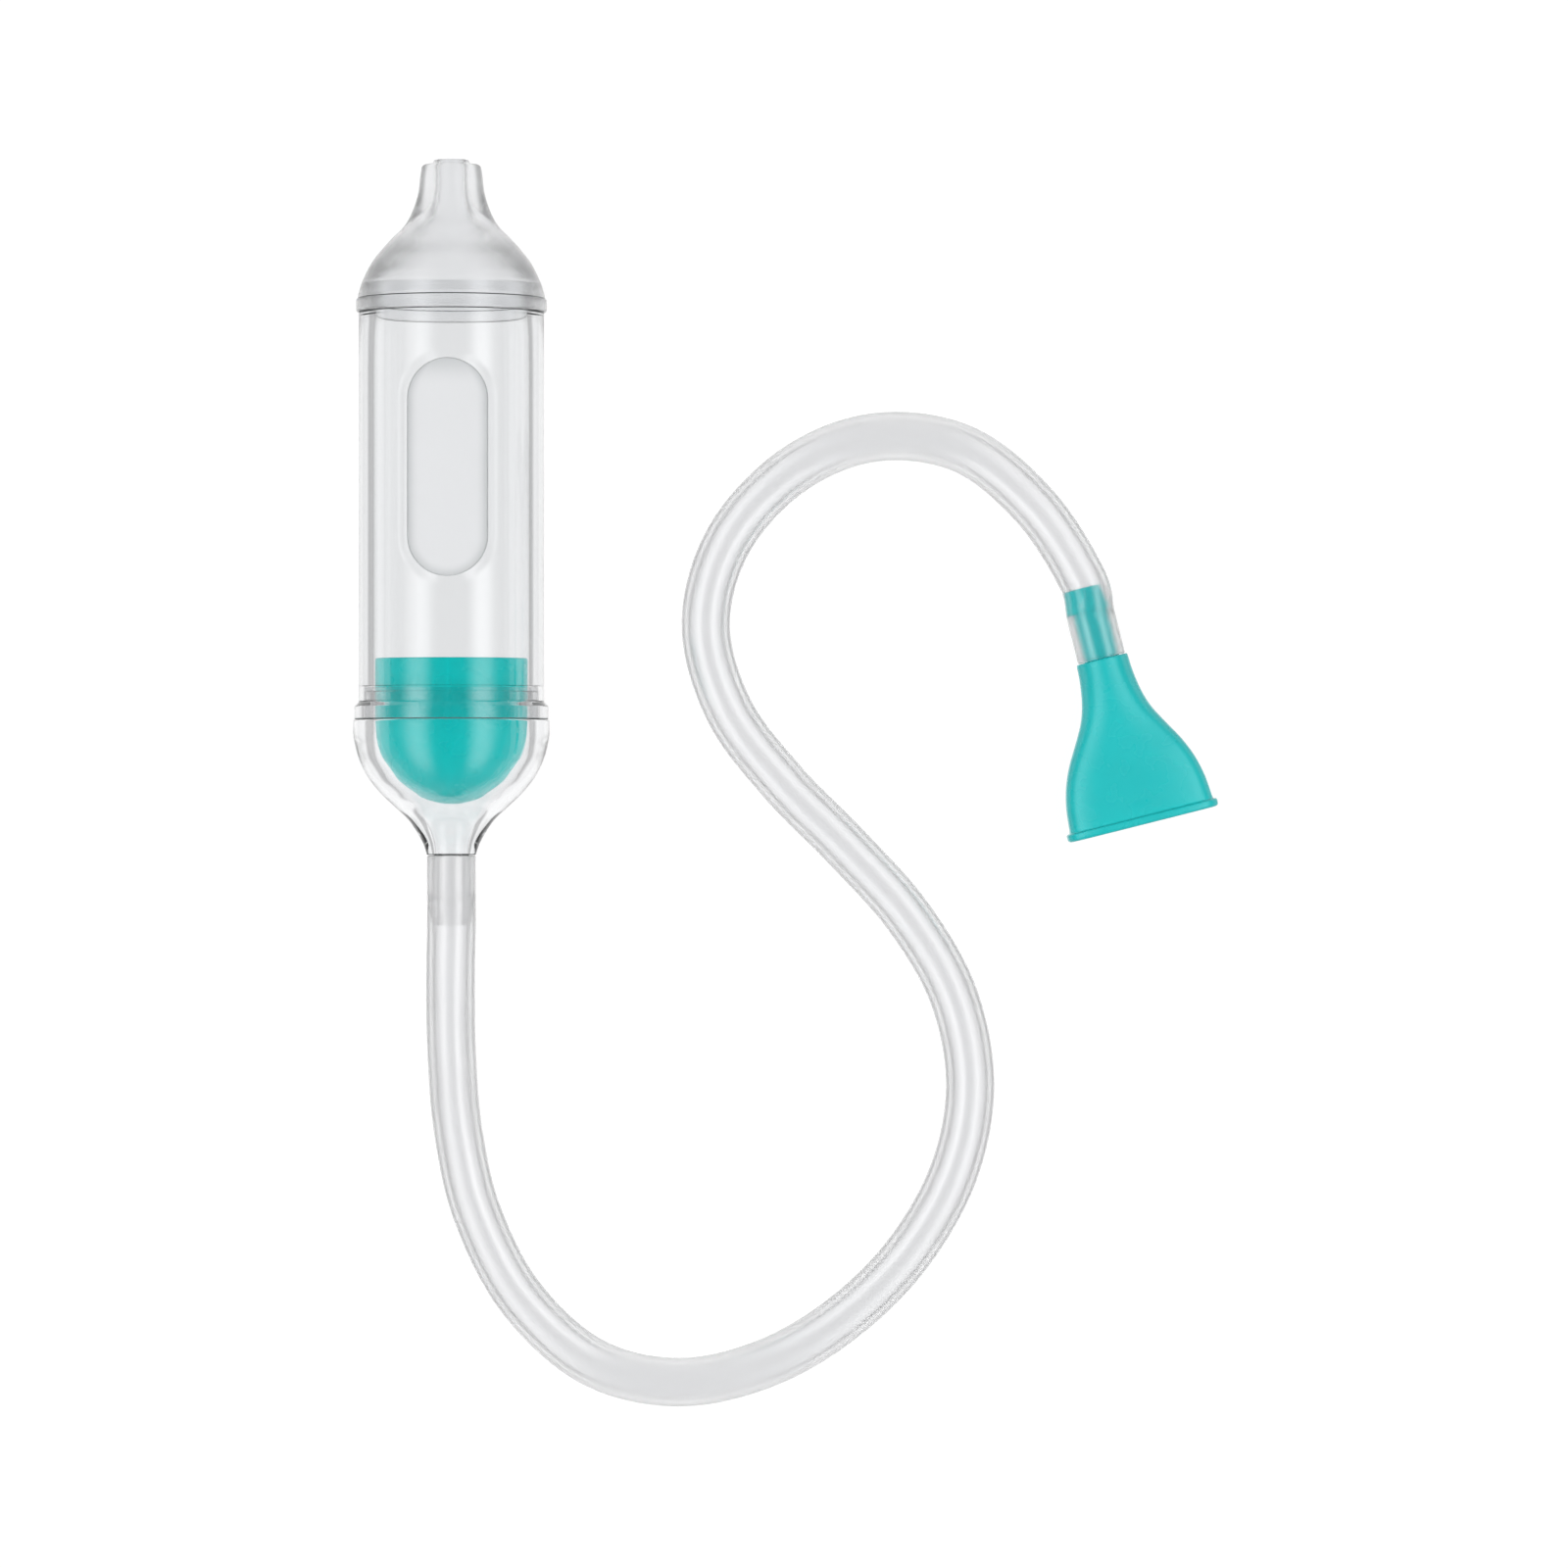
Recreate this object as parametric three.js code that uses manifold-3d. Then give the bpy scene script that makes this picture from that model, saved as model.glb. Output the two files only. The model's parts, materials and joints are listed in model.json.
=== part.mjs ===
// Manual nasal aspirator: a clear suction chamber with a silicone nose tip, a filter cup nested in a
// clear outlet dome, and a silicone hose to a flattened mouthpiece. All sizes are in millimetres.
//
// The object lies flat. +Z is up from the surface, +Y runs along the chamber towards the nose tip, and
// +X runs across to the mouthpiece. The origin is on the surface, at the middle of the rectangle that
// everything but the hose covers. A "station" is a distance along the body's axis (+Y), counted from
// the joint between the outlet dome and the chamber.

import * as THREE from 'three';
import { mergeVertices } from 'three/addons/utils/BufferGeometryUtils.js';
import Module from 'manifold-3d';

const wasm = await Module();
wasm.setup();

// ---- Driving dimensions -------------------------------------------------------------------------

const SPAN_X = 141.6;            // from the dome's side to the mouthpiece's far corner
const FIT_GAP = 0.3;             // radial clearance between nested pieces
const SEAT_GAP = 0.1;            // between faces that rest on each other
const SIDES = 32;                // flats round a turned piece, a multiple of four

const DOME_R = 16;               // the widest radius, which the object lies on
const CHAMBER_R = 15.1;
const CHAMBER_BORE_R = 12.7;
const CHAMBER_TOP = 66.3;        // station of the shoulder that the nose tip sits on
const LOWER_FLANGE_R = 15.8;
const COLLAR_R = 13.2;           // the collar that the nose tip grips
const COLLAR_TOP = 70.7;
const COLLAR_BORE_R = 12;

const PAD_WIDTH = 13;
const PAD_LENGTH = 35.2;
const PAD_CENTRE = 40.6;         // station of the thumb pad's middle
const PAD_THICKNESS = 0.5;
const RECESS_DEPTH = 0.9;

const SPIGOT_R = 14.1;           // the dome's spigot inside the chamber's counterbore
const SPIGOT_BORE_R = 12.75;
const SPIGOT_TOP = 5.2;
const COUNTERBORE_R = 14.3;
const GROOVE_R = 13.2;
const GROOVE_LOW = 3.1;
const GROOVE_HIGH = 4.6;

const CUP_R = CHAMBER_BORE_R - FIT_GAP;
const CUP_TOP = 10;
const CUP_LEDGE = 1;             // station of the ledge that the foam rests on
const CUP_BORE_R = 11.2;
const CUP_PORT_R = 1.5;
const FOAM_THICKNESS = 5;

const TIP_SKIRT_R = 15.5;
const TIP_SKIRT_TOP = 68.4;
const TIP_BASE_R = 15.2;
const TIP_END = 91.2;
const TIP_BORE_R = 2;

const NECK_END = -22;            // station of the shoulder where the hose stops
const NECK_R = 4;
const DOME_BORE_R = 1.8;
const DOME_BARB_LENGTH = 11.4;
const BARB_R = 2.85;
const BARB_RIDGE_R = 3.3;
const BARB_TIP_R = 2.6;
const MOUTH_BORE_R = 2.1;
const RIDGE_FROM_END = 3.4;
const RIDGE_LENGTH = 0.5;

const HOSE_R = 4;
const HOSE_BORE_R = 2.5;
const HOSE_SIDES = 12;
const HOSE_STEPS = 48;

const MOUTH_LENGTH = 28;         // shoulder to lip
const MOUTH_BARB_LENGTH = 12.1;
const MOUTH_TILT = THREE.MathUtils.degToRad(14.15);
const MOUTH_WALL = 1.3;
const MOUTH_SHOULDER_Y = -18.8;
const MOUTH_SIDES = 24;
const LIP_HALF_WIDTH = 12.7;
const LIP_HALF_THICKNESS = 5;
const LIP_LENGTH = 1.3;

// Places that follow from the sizes above.
const BARB_END = NECK_END - DOME_BARB_LENGTH;
const BODY_PLACE = new THREE.Vector3(DOME_R - SPAN_X / 2, -(TIP_END + BARB_END) / 2, DOME_R);
const MOUTH_REACH = MOUTH_LENGTH * Math.sin(MOUTH_TILT) + LIP_HALF_WIDTH * Math.cos(MOUTH_TILT);
const MOUTH_PLACE = new THREE.Vector3(SPAN_X / 2 - MOUTH_REACH, MOUTH_SHOULDER_Y, LIP_HALF_THICKNESS);

// The hose's centre line, from the dome's shoulder to the mouthpiece's. It leaves straight along the
// barb, comes down to lie on the surface, and lifts by a millimetre onto the mouthpiece's barb.
const HOSE_ROUTE = [
  [-54.8, -51, 16],
  [-54.8, -57, 16],
  [-54.8, -63, 16],
  [-55, -72.5, 14.9],
  [-54.95, -84, 11],
  [-54.1, -96.5, 6.6],
  [-51.1, -110, 4.5],
  [-44, -123.8, 4.2],
  [-32.3, -134.4, 4.2],
  [-18, -137.8, 4.2],
  [-3.4, -134.6, 4.2],
  [9.4, -127, 4.2],
  [20, -116.3, 4.2],
  [27.4, -103, 4.2],
  [30, -88.6, 4.2],
  [27.2, -74, 4.2],
  [19.7, -61, 4.2],
  [9.6, -49.7, 4.2],
  [-0.9, -39, 4.2],
  [-9.8, -27, 4.2],
  [-13.5, -12.8, 4.2],
  [-9.5, 1.2, 4.2],
  [1, 12.4, 4.2],
  [14.4, 17.7, 4.2],
  [28.8, 15.8, 4.3],
  [40.4, 6.6, 4.7],
  [48.22, -5.23, 5],
  [49.93, -12.01, 5],
  [51.616, -18.703, 5],
];

// ---- Tools --------------------------------------------------------------------------------------

// A turned piece about the body's axis. Each [radius, station] is the radius at the middle of a flat,
// and one flat faces straight down. A closed outline runs up the outside and down the inside.
function turned(outline) {
  const cornerOverFlat = 1 / Math.cos(Math.PI / SIDES);
  const points = outline.map(([radius, station]) => new THREE.Vector2(radius * cornerOverFlat, station));
  return new THREE.LatheGeometry(points, SIDES, Math.PI / SIDES);
}

function ring(outline) {
  return turned([...outline, outline[0]]);
}

function rod(radius, from, to) {
  return turned([[0, from], [radius, from], [radius, to], [0, to]]);
}

// A smooth run of outline points through a few chosen ones.
function smooth(points, count) {
  const curve = new THREE.SplineCurve(points.map(([radius, station]) => new THREE.Vector2(radius, station)));
  return curve.getSpacedPoints(count).map((point) => [point.x, point.y]);
}

function solidOf(geometry) {
  const bare = geometry.clone();
  bare.deleteAttribute('normal');
  bare.deleteAttribute('uv');
  const merged = mergeVertices(bare);
  return new wasm.Manifold(new wasm.Mesh({
    numProp: 3,
    vertProperties: merged.attributes.position.array,
    triVerts: merged.index.array,
  }));
}

function geometryOf(solid) {
  const mesh = solid.getMesh();
  const geometry = new THREE.BufferGeometry();
  geometry.setAttribute('position', new THREE.BufferAttribute(mesh.vertProperties, 3));
  geometry.setIndex(new THREE.BufferAttribute(mesh.triVerts, 1));
  geometry.computeVertexNormals();
  return geometry;
}

function mesh(name, geometry, colour, roughness, opacity = 1) {
  const material = new THREE.MeshStandardMaterial({
    color: colour,
    roughness,
    metalness: 0,
    opacity,
    transparent: opacity < 1,
  });
  const piece = new THREE.Mesh(geometry, material);
  piece.name = name;
  return piece;
}

// ---- Body ---------------------------------------------------------------------------------------

// The barb that a hose end is pushed over, as outline points from its end up to the shoulder.
function barbOutline(shoulder, length, bore) {
  const end = shoulder - length;
  const ridge = end + RIDGE_FROM_END;
  return [
    [bore, end],
    [BARB_TIP_R, end],
    [BARB_RIDGE_R, ridge],
    [BARB_RIDGE_R, ridge + RIDGE_LENGTH],
    [BARB_R, ridge + 2 * RIDGE_LENGTH],
    [BARB_R, shoulder],
  ];
}

function outletDome() {
  const outside = smooth([
    [NECK_R, NECK_END],
    [4.6, -20.2],
    [5.7, -18.2],
    [7.1, -16.2],
    [9.1, -14.3],
    [11.5, -12],
    [13.7, -9.2],
    [15.2, -6],
    [DOME_R, -2.6],
  ], 11);
  const inside = smooth([
    [SPIGOT_BORE_R, -1],
    [12.8, -3],
    [12.3, -6],
    [10.7, -9],
    [8.4, -11.6],
    [6.3, -13.5],
    [4.8, -15.2],
    [3.7, -17],
    [3, -19],
    [2.7, -20.9],
    [2.6, NECK_END + 0.4],
  ], 10);
  return ring([
    ...barbOutline(NECK_END, DOME_BARB_LENGTH, DOME_BORE_R),
    ...outside,
    [DOME_R, -0.9],
    [15.7, -0.25],
    [15.1, 0],
    [SPIGOT_R, 0],
    [SPIGOT_R, GROOVE_LOW],
    [GROOVE_R, GROOVE_LOW],
    [GROOVE_R, GROOVE_HIGH],
    [SPIGOT_R, GROOVE_HIGH],
    [SPIGOT_R, SPIGOT_TOP - 0.2],
    [SPIGOT_R - 0.2, SPIGOT_TOP],
    [SPIGOT_BORE_R, SPIGOT_TOP],
    ...inside,
    [DOME_BORE_R, NECK_END],
  ]);
}

function sealRing() {
  const inner = GROOVE_R + SEAT_GAP;
  const outer = COUNTERBORE_R - SEAT_GAP;
  const low = GROOVE_LOW + SEAT_GAP;
  const high = GROOVE_HIGH - SEAT_GAP;
  const round = 0.35;
  return ring([
    [inner, low],
    [outer - round, low],
    [outer, low + round],
    [outer, high - round],
    [outer - round, high],
    [inner, high],
  ]);
}

function pillPrism(width, length) {
  const radius = width / 2;
  const reach = length / 2 - radius;
  const shape = new THREE.Shape();
  shape.absarc(0, PAD_CENTRE + reach, radius, 0, Math.PI, false);
  shape.absarc(0, PAD_CENTRE - reach, radius, Math.PI, 2 * Math.PI, false);
  const geometry = new THREE.ExtrudeGeometry(shape, {
    depth: 2 * CHAMBER_R,
    bevelEnabled: false,
    curveSegments: 10,
  });
  return solidOf(geometry);
}

// The part of a pill-shaped prism that lies between two radii of the chamber's wall.
function pillShell(width, length, innerRadius, outerRadius) {
  const outer = solidOf(rod(outerRadius, 0, CHAMBER_TOP));
  const inner = solidOf(rod(innerRadius, -1, CHAMBER_TOP + 1));
  return pillPrism(width, length).intersect(outer).subtract(inner);
}

function chamber() {
  const tube = ring([
    [COUNTERBORE_R, SEAT_GAP],
    [LOWER_FLANGE_R - 0.3, SEAT_GAP],
    [LOWER_FLANGE_R, 0.4],
    [LOWER_FLANGE_R, 2],
    [LOWER_FLANGE_R - 0.3, 2.3],
    [CHAMBER_R, 2.9],
    [CHAMBER_R, CHAMBER_TOP - 0.2],
    [CHAMBER_R - 0.2, CHAMBER_TOP],
    [COLLAR_R - 0.15, CHAMBER_TOP],
    [COLLAR_R - 0.15, CHAMBER_TOP + 2.1],
    [COLLAR_R, CHAMBER_TOP + 2.8],
    [COLLAR_R - 0.15, CHAMBER_TOP + 3.5],
    [COLLAR_R - 0.15, COLLAR_TOP - 0.3],
    [COLLAR_R - 0.4, COLLAR_TOP],
    [COLLAR_BORE_R, COLLAR_TOP],
    [CHAMBER_BORE_R - 0.25, CHAMBER_TOP],
    [CHAMBER_BORE_R - 0.05, CHAMBER_TOP - 4.3],
    [CHAMBER_BORE_R, CHAMBER_TOP - 9.3],
    [CHAMBER_BORE_R, SPIGOT_TOP + 0.8],
    [COUNTERBORE_R, SPIGOT_TOP + 0.3],
  ]);
  const recess = pillShell(
    PAD_WIDTH + 2 * FIT_GAP,
    PAD_LENGTH + 2 * FIT_GAP,
    CHAMBER_R - RECESS_DEPTH,
    CHAMBER_R + 1,
  );
  return geometryOf(solidOf(tube).subtract(recess));
}

function thumbPad() {
  const floor = CHAMBER_R - RECESS_DEPTH + SEAT_GAP;
  return geometryOf(pillShell(PAD_WIDTH, PAD_LENGTH, floor, floor + PAD_THICKNESS));
}

function filterCup() {
  const outside = smooth([
    [CUP_PORT_R, -13],
    [3.8, -12.4],
    [6.6, -11.05],
    [9.1, -8.9],
    [11, -6.05],
    [12.1, -3],
    [CUP_R, 0],
  ], 8);
  const inside = smooth([
    [10, CUP_LEDGE],
    [9.9, -2.4],
    [8.8, -5.5],
    [6.8, -8.2],
    [4, -10.5],
    [CUP_PORT_R, -11.6],
  ], 6);
  return ring([
    ...outside,
    [CUP_R, CUP_TOP - 0.3],
    [CUP_R - 0.3, CUP_TOP],
    [CUP_BORE_R, CUP_TOP],
    [CUP_BORE_R, CUP_LEDGE],
    ...inside,
  ]);
}

function filterFoam() {
  const radius = CUP_BORE_R - FIT_GAP;
  const low = CUP_LEDGE + SEAT_GAP;
  const high = low + FOAM_THICKNESS;
  return turned([[0, low], [radius, low], [radius, high - 0.6], [radius - 0.6, high], [0, high]]);
}

function noseTip() {
  const base = CHAMBER_TOP + SEAT_GAP;
  const shelf = COLLAR_TOP + FIT_GAP;
  const outside = smooth([
    [TIP_BASE_R, 69.1],
    [14.4, 71.6],
    [12.7, 74.8],
    [10.2, 77.8],
    [7.6, 80.5],
    [6.2, 83.2],
    [5.4, 85.8],
    [5.1, 88.3],
    [4.8, 89.9],
  ], 13);
  const inside = smooth([
    [TIP_BORE_R, 86.5],
    [2.3, 84],
    [3.1, 82],
    [5, 79.6],
    [7.7, 77],
    [10.3, 74.8],
    [12.3, 72.6],
    [COLLAR_R + FIT_GAP - 0.1, shelf],
  ], 9);
  return ring([
    [COLLAR_R + FIT_GAP, base],
    [TIP_SKIRT_R - 0.2, base],
    [TIP_SKIRT_R, base + 0.2],
    [TIP_SKIRT_R, TIP_SKIRT_TOP],
    ...outside,
    [4.4, TIP_END - 0.5],
    [3.6, TIP_END],
    [TIP_BORE_R + 0.5, TIP_END],
    [TIP_BORE_R, TIP_END - 0.5],
    ...inside,
    [COLLAR_R + FIT_GAP, shelf - 0.3],
  ]);
}

// ---- Mouthpiece, along +Y from its shoulder, wide in X ------------------------------------------

// A cylinder whose rings follow stations of [y, half width, half thickness, squareness]. Squareness 2
// is an ellipse, and more brings the section towards a rectangle with round corners.
function flared(stations) {
  const geometry = new THREE.CylinderGeometry(1, 1, 1, MOUTH_SIDES, stations.length - 1);
  const place = geometry.attributes.position;
  const steps = stations.length - 1;
  for (let i = 0; i < place.count; i += 1) {
    const [y, halfWidth, halfThickness, squareness] = stations[Math.round((place.getY(i) + 0.5) * steps)];
    const bend = (value) => Math.sign(value) * Math.abs(value) ** (2 / squareness);
    const x = Math.abs(place.getX(i)) < 1e-6 ? 0 : place.getX(i);
    const z = Math.abs(place.getZ(i)) < 1e-6 ? 0 : place.getZ(i);
    place.setXYZ(i, halfWidth * bend(x), y, halfThickness * bend(z));
  }
  return solidOf(geometry);
}

function mouthpiece() {
  const lip = MOUTH_LENGTH - LIP_LENGTH;
  const fan = [
    [0, 4.3, 4.3, 2],
    [2.8, 4.45, 4.3, 2],
    [5.6, 4.85, 4.25, 2.1],
    [7.7, 5.35, 4.2, 2.2],
    [9.6, 6.05, 4.2, 2.4],
    [11.5, 7.05, 4.2, 2.6],
    [13.5, 8.2, 4.2, 2.9],
    [15.4, 9.3, 4.25, 3.2],
    [17.3, 10.2, 4.3, 3.5],
    [19.3, 10.95, 4.3, 3.7],
    [21.2, 11.45, 4.35, 3.8],
    [23.2, 11.8, 4.4, 3.9],
    [lip, 12.1, 4.4, 4],
  ];
  const rim = [
    [lip - 0.4, 12, 4.4, 4],
    [lip, LIP_HALF_WIDTH, LIP_HALF_THICKNESS, 4],
    [MOUTH_LENGTH, LIP_HALF_WIDTH, LIP_HALF_THICKNESS, 4],
  ];
  const hollow = [
    [0.8, MOUTH_BORE_R, MOUTH_BORE_R, 2],
    ...fan.slice(2).map(([y, width, thickness, square]) => [y, width - MOUTH_WALL, thickness - MOUTH_WALL, square]),
    [MOUTH_LENGTH + 1, 12.1 - MOUTH_WALL, 4.4 - MOUTH_WALL, 4],
  ];
  const spigot = barbOutline(0, MOUTH_BARB_LENGTH, MOUTH_BORE_R);
  const barb = turned([[0, -MOUTH_BARB_LENGTH], ...spigot.slice(1), [BARB_R, 1], [0, 1]]);
  const bore = rod(MOUTH_BORE_R, -MOUTH_BARB_LENGTH - 1, 1.5);
  return geometryOf(
    flared(fan).add(flared(rim)).add(solidOf(barb)).subtract(flared(hollow)).subtract(solidOf(bore)),
  );
}

// ---- Hose ---------------------------------------------------------------------------------------

function polygon(shape, radius) {
  for (let i = 0; i < HOSE_SIDES; i += 1) {
    const angle = (2 * Math.PI * i) / HOSE_SIDES;
    const point = [radius * Math.cos(angle), radius * Math.sin(angle)];
    if (i === 0) {
      shape.moveTo(...point);
    } else {
      shape.lineTo(...point);
    }
  }
  shape.closePath();
  return shape;
}

// The tube along its route, with a pocket at each end that clears the barb inside it.
function hose(bodyMatrix, mouthMatrix) {
  const section = polygon(new THREE.Shape(), HOSE_R / Math.cos(Math.PI / HOSE_SIDES));
  section.holes.push(polygon(new THREE.Path(), HOSE_BORE_R));
  const route = new THREE.CatmullRomCurve3(HOSE_ROUTE.map((point) => new THREE.Vector3(...point)));
  const tube = new THREE.ExtrudeGeometry(section, { steps: HOSE_STEPS, extrudePath: route });
  const pocketRadius = BARB_RIDGE_R + FIT_GAP;
  const bodyPocket = rod(pocketRadius, BARB_END - 0.5, NECK_END + 0.5).applyMatrix4(bodyMatrix);
  const mouthPocket = rod(pocketRadius, -MOUTH_BARB_LENGTH - 0.5, 0.5).applyMatrix4(mouthMatrix);
  return geometryOf(solidOf(tube).subtract(solidOf(bodyPocket)).subtract(solidOf(mouthPocket)));
}

// ---- Assembly -----------------------------------------------------------------------------------

const CLEAR = 0xeef1f2;
const SILICONE = 0xd5d8da;
const TEAL = 0x1abab6;

const body = new THREE.Group();
body.position.copy(BODY_PLACE);
body.add(
  mesh('outlet_dome', outletDome(), CLEAR, 0.06, 0.35),
  mesh('seal_ring', sealRing(), SILICONE, 0.45),
  mesh('chamber', chamber(), CLEAR, 0.06, 0.35),
  mesh('thumb_pad', thumbPad(), 0xe4e7e7, 0.6),
  mesh('filter_cup', filterCup(), TEAL, 0.25),
  mesh('filter_foam', filterFoam(), 0xf3f3ef, 0.95),
  mesh('nose_tip', noseTip(), SILICONE, 0.4, 0.8),
);

const mouth = new THREE.Group();
mouth.position.copy(MOUTH_PLACE);
mouth.rotation.z = Math.PI + MOUTH_TILT;
mouth.add(mesh('mouthpiece', mouthpiece(), TEAL, 0.3));

body.updateMatrixWorld();
mouth.updateMatrixWorld();

const aspirator = new THREE.Group();
aspirator.add(body, mouth, mesh('hose', hose(body.matrixWorld, mouth.matrixWorld), SILICONE, 0.25, 0.5));

export default aspirator;
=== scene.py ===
"""A manual nasal aspirator lying on a pale surface, seen from straight above.

Every piece is turned, lofted or swept in code at the place that the frame gives. Outlines are in
millimetres. The clear body's "stations" run along its axis, counted from the joint between the dome
and the chamber, and the mouthpiece's are counted from its shoulder.
"""

import json
import math

import bmesh
import bpy
import numpy as np
from mathutils import Matrix, Vector


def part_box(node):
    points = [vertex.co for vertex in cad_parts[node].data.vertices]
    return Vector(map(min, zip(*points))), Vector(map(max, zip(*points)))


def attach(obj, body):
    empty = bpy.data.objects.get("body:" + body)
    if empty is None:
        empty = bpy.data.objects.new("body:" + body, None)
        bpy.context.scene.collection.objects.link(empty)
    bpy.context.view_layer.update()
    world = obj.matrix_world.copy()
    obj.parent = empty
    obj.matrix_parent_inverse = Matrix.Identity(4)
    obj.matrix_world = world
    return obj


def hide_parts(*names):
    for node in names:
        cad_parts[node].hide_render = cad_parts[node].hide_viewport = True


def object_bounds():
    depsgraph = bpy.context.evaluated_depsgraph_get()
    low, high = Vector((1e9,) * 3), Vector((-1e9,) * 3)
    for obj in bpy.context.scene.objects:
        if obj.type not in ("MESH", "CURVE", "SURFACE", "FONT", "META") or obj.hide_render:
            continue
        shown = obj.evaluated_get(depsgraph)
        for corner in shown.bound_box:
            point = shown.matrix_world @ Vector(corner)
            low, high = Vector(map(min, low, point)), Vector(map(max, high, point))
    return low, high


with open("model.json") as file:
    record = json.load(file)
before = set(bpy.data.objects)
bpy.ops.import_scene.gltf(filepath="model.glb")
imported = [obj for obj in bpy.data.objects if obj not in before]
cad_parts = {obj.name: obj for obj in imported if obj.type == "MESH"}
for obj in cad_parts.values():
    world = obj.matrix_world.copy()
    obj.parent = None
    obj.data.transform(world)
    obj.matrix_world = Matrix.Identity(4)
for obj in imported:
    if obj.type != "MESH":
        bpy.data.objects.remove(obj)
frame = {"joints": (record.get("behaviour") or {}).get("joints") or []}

MM = 0.001
cad_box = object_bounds()
scene = bpy.context.scene

# ---- Places, from the frame ----------------------------------------------------------------------

DOME_LENGTH = 33.4               # from the end of the dome's barb to its joint with the chamber
MOUTH_LENGTH = 28.0              # shoulder to lip
LIP_HALF_WIDTH = 12.7


def body_place():
    """The point on the body's axis at the joint between dome and chamber."""
    low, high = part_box("chamber")
    middle = (low + high) / 2
    return Matrix.Translation((middle.x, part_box("outlet_dome")[0].y + DOME_LENGTH * MM, middle.z))


def mouth_place():
    """The mouthpiece's shoulder, turned so that +Y runs on to the lip."""
    axis = next(Vector(j["axis"]) for j in frame["joints"] if j["name"] == "mouthpiece_pull")
    across = Vector((-axis.y, axis.x, 0))
    reach = (axis * MOUTH_LENGTH + across * LIP_HALF_WIDTH) * MM
    low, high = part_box("mouthpiece")
    other_corner = (axis * MOUTH_LENGTH - across * LIP_HALF_WIDTH) * MM
    shoulder = Vector((high.x - max(reach.x, other_corner.x), low.y - min(reach.y, other_corner.y),
                       (low.z + high.z) / 2))
    return Matrix.Translation(shoulder) @ Matrix.Rotation(math.atan2(-axis.x, axis.y), 4, "Z")


BODY = body_place()
MOUTH = mouth_place()

# ---- Camera: straight down, through a long lens ----------------------------------------------------

LENS = 160.4
SENSOR_WIDTH = 36.0
CAMERA_HEIGHT = 1.154
CAMERA_OFFSET = (-0.00063, 0.00043)

camera = bpy.data.objects.new("camera", bpy.data.cameras.new("camera"))
camera.data.lens = LENS
camera.data.sensor_width = SENSOR_WIDTH
camera.data.clip_start = 0.1
camera.data.clip_end = 50.0
middle_of_all = (cad_box[0] + cad_box[1]) / 2
camera.location = (
    middle_of_all.x + CAMERA_OFFSET[0],
    middle_of_all.y + CAMERA_OFFSET[1],
    CAMERA_HEIGHT,
)
scene.collection.objects.link(camera)
scene.camera = camera

# ---- Outlines ----------------------------------------------------------------------------------------

ARC_STEP = math.radians(15)
LARGEST_CUT = 0.49               # of an outline's side, that one fillet may take up


def through(points, step=0.5):
    """Points about step apart on a smooth curve through the given ones."""
    points = np.array(points, float)
    ends = np.vstack([2 * points[0] - points[1], points, 2 * points[-1] - points[-2]])
    run = []
    for a, b, c, d in zip(ends[:-3], ends[1:-2], ends[2:-1], ends[3:]):
        count = max(2, round(np.linalg.norm(c - b) / step))
        for t in np.arange(count) / count:
            run.append(0.5 * (2 * b + (c - a) * t + (2 * a - 5 * b + 4 * c - d) * t * t
                              + (3 * b - 3 * c + d - a) * t ** 3))
    run.append(points[-1])
    return [tuple(point) for point in run]


def rounded(corners, loop=True):
    """An outline through [x, y] and [x, y, fillet] corners, with an arc at each fillet."""
    outline = []
    for i, corner in enumerate(corners):
        at = Vector(corner[:2])
        fillet = corner[2] if len(corner) > 2 else 0
        open_end = not loop and i in (0, len(corners) - 1)
        if not fillet or open_end:
            outline.append(tuple(at))
            continue
        back = Vector(corners[i - 1][:2]) - at
        ahead = Vector(corners[(i + 1) % len(corners)][:2]) - at
        half = back.angle(ahead) / 2
        cut = min(fillet / math.tan(half), LARGEST_CUT * back.length, LARGEST_CUT * ahead.length)
        radius = cut * math.tan(half)
        centre = at + (back.normalized() + ahead.normalized()).normalized() * (radius / math.sin(half))
        start = at + back.normalized() * cut - centre
        turn = start.angle_signed(at + ahead.normalized() * cut - centre)
        steps = max(2, math.ceil(abs(turn) / ARC_STEP))
        for k in range(steps + 1):
            outline.append(tuple(centre + Matrix.Rotation(-turn * k / steps, 2) @ start))
    return outline


# ---- Meshes -----------------------------------------------------------------------------------------

TURNED_SIDES = 128
ROUND = np.arange(TURNED_SIDES) / TURNED_SIDES * 2 * math.pi
MERGE_DISTANCE = 1e-6


def turned_rings(outline, angles=ROUND):
    """One ring about the Y axis for each (radius, station)."""
    return np.array([[(r * math.cos(a), s, r * math.sin(a)) for a in angles] for r, s in outline])


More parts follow.
